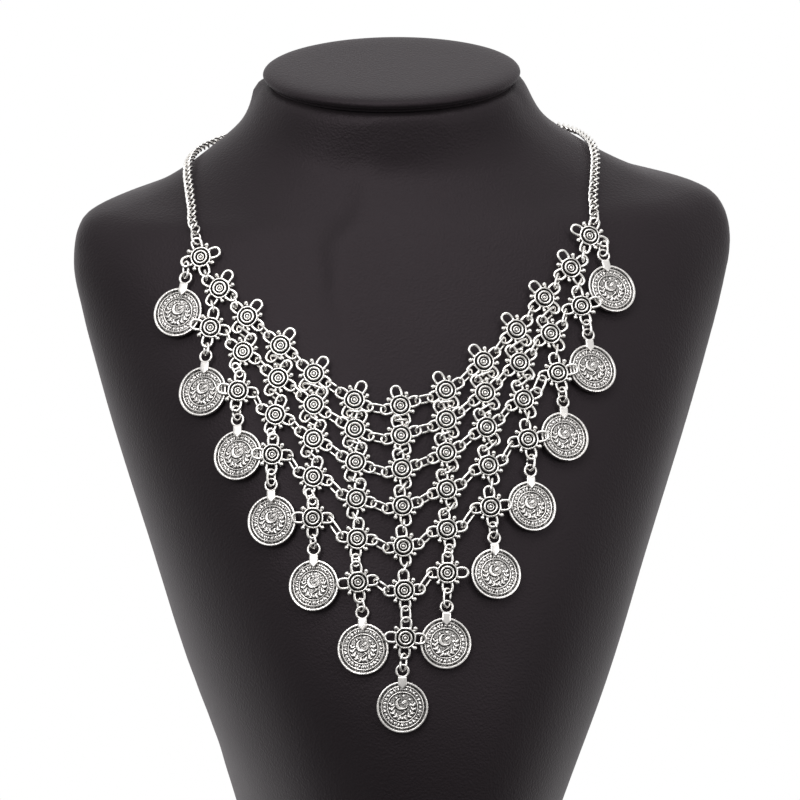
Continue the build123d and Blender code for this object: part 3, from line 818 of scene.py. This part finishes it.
cap_middle, cap_axes, cap_size = spread(solids("neck_cap")[0])
cap_z = cap_axes[2] if cap_axes[2][2] > 0 else -cap_axes[2]
half = cap_size[2] / 2
foot_radius, top_radius = CAP_EDGE[0][0], CAP_EDGE[-1][0]
profile = [(0, -half)]
profile += [(foot_radius * k / CAP_FOOT_RINGS, -half) for k in range(1, CAP_FOOT_RINGS)]
profile += [(r, z * half) for r, z in CAP_EDGE]
profile += [(top_radius * (1 - k / CAP_TOP_RINGS), half) for k in range(1, CAP_TOP_RINGS)]
profile += [(0, half)]
pad, faces = turned(profile, 96)
pad[:, 0] *= cap_size[0] / 2
pad[:, 1] *= cap_size[1] / 2
cap = Shape().place(Shape().add(pad, faces), pose(cap_middle, cap_axes[0], cap_z))
cap.build("cap_pad", bust_cover, ["neck_cap"], "cap_cover")


# Light: white behind the bust, dim in front of it, so that the metal mirrors dark and bright
MIX_FIRST, MIX_SECOND, MIX_RESULT = 6, 7, 2  # the Mix node's sockets for colours
LIGHT_AIM = (0, 0, 0.2)

world = bpy.data.worlds.new("studio")
scene.world = world
world.use_nodes = True
sky_tree = world.node_tree
direction = sky_tree.nodes.new("ShaderNodeTexCoord").outputs["Generated"]
split = sky_tree.nodes.new("ShaderNodeSeparateXYZ")
sky_tree.links.new(direction, split.inputs["Vector"])


def graded(axis, stops):
    """Greys of the sky along one axis, whose -1 to 1 is 0 to 1 in the stops."""
    share = add_node(sky_tree, "ShaderNodeMath", operation="MULTIPLY_ADD")
    share.inputs[1].default_value = 0.5
    share.inputs[2].default_value = 0.5
    sky_tree.links.new(split.outputs[axis], share.inputs[0])
    greys = [(position, (grey, grey, grey)) for position, grey in stops]
    return ramp(sky_tree, share.outputs["Value"], greys)


front = graded("Z", [(0.28, 0.06), (0.46, 0.26), (0.62, 0.52), (0.85, 0.6)])
behind = graded("Y", [(0.34, 0.0), (0.6, 1.0)])
sky = add_node(sky_tree, "ShaderNodeMix", data_type="RGBA")
sky_tree.links.new(behind.outputs["Color"], sky.inputs["Factor"])
sky_tree.links.new(front.outputs["Color"], sky.inputs[MIX_FIRST])
sky.inputs[MIX_SECOND].default_value = (1, 1, 1, 1)
sky_tree.links.new(sky.outputs[MIX_RESULT], sky_tree.nodes["Background"].inputs["Color"])
sky_tree.nodes["Background"].inputs["Strength"].default_value = 1.0


def softbox(name, place, size, power):
    light = bpy.data.lights.new(name, "AREA")
    light.shape = "RECTANGLE"
    light.size, light.size_y = size
    light.energy = power
    obj = bpy.data.objects.new(name, light)
    obj.location = place
    obj.rotation_euler = (Vector(LIGHT_AIM) - Vector(place)).to_track_quat("-Z", "Y").to_euler()
    scene.collection.objects.link(obj)


softbox("key", (-0.9, -1.3, 1.5), (0.8, 0.8), 16)
softbox("fill", (1.2, -1.3, 0.9), (0.5, 0.9), 7)
softbox("top", (0.1, -0.5, 1.7), (1.0, 0.6), 10)


# Camera: the view of the photo, in metres. The aim is the point that AIM_PIXEL shows.
VIEW_SIDE = radians(-6.5)
VIEW_UP = radians(18.0)
VIEW_ROLL = radians(-0.5)
VIEW_DISTANCE = 2.5
PICTURE = 800
PIXEL = 0.355 * MM
AIM = Vector((-0.00117, -0.0122, 0.167))
AIM_PIXEL = (417.2, 470.4)
SENSOR = 36

back = Vector((sin(VIEW_SIDE) * cos(VIEW_UP), -cos(VIEW_SIDE) * cos(VIEW_UP), sin(VIEW_UP)))
level = Vector((cos(VIEW_SIDE), sin(VIEW_SIDE), 0))
upright = back.cross(level)
right = level * cos(VIEW_ROLL) + upright * sin(VIEW_ROLL)
up = upright * cos(VIEW_ROLL) - level * sin(VIEW_ROLL)
target = AIM + right * ((PICTURE / 2 - AIM_PIXEL[0]) * PIXEL)
target = target + up * ((AIM_PIXEL[1] - PICTURE / 2) * PIXEL)
camera_data = bpy.data.cameras.new("camera")
camera = bpy.data.objects.new("camera", camera_data)
scene.collection.objects.link(camera)
camera.location = AIM + back * VIEW_DISTANCE
depth = (camera.location - target).normalized()
right = (right - depth * right.dot(depth)).normalized()
up = depth.cross(right)
camera.matrix_world = Matrix((
    (right.x, up.x, depth.x, camera.location.x),
    (right.y, up.y, depth.y, camera.location.y),
    (right.z, up.z, depth.z, camera.location.z),
    (0, 0, 0, 1)))
camera_data.sensor_width = SENSOR
camera_data.lens = SENSOR * (camera.location - target).length / (PICTURE * PIXEL)
camera_data.clip_end = 50
scene.camera = camera
scene.view_settings.view_transform = "Standard"
